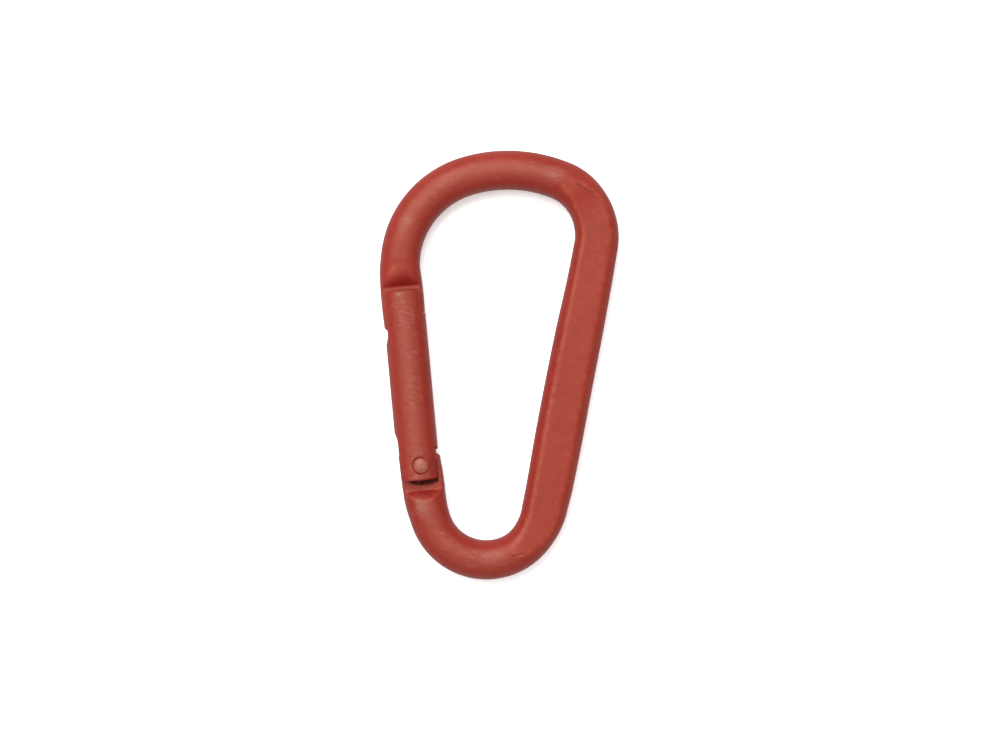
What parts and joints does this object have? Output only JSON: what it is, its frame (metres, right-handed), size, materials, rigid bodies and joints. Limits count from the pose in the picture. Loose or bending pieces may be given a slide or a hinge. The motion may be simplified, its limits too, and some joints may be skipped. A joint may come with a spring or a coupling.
{
  "type": "spring gate carabiner",
  "caption": "Pear-shaped key clip of bent round bar with a pressed-flat spine, closed by an inward-opening spring gate on a rivet hinge.",
  "frame": {"origin": "centre of the footprint, on the surface the clip lies flat on", "axes": "+Y along the clip from the small key end to the wide nose end, -X the gate side, +X the spine side, +Z the thickness"},
  "size_m": [0.044, 0.08, 0.0083],
  "materials": {
    "bar_paint": "satin red paint on aluminium",
    "gate_paint": "satin red paint on aluminium",
    "rivet_paint": "satin red paint on steel, worn on the dome",
    "plunger_steel": "turned",
    "spring_steel": "drawn wire"
  },
  "bodies": {
    "frame": {"frame": "bar_paint"},
    "gate": {"gate": "gate_paint", "hinge_rivet": "rivet_paint", "spring": "spring_steel"},
    "plunger": {"plunger": "plunger_steel"}
  },
  "joints": [
    {"name": "gate_hinge", "type": "hinge", "parent": "frame", "child": "gate", "pos_m": [-0.01277, -0.01925, 0.00415], "axis": [0, 0, -1], "range_deg": [0, 40], "stiffness_Nm_per_rad": 0.03, "springref_deg": -40.11},
    {"name": "plunger_slide", "type": "slide", "parent": "gate", "child": "plunger", "axis": [-0.1352, 0.9908, 0], "range_m": [0, 0.0009], "deforming": ["spring"]}
  ],
  "couplings": [
    {"joint": "plunger_slide", "follows": "gate_hinge", "m_per_rad": 0.00125}
  ]
}
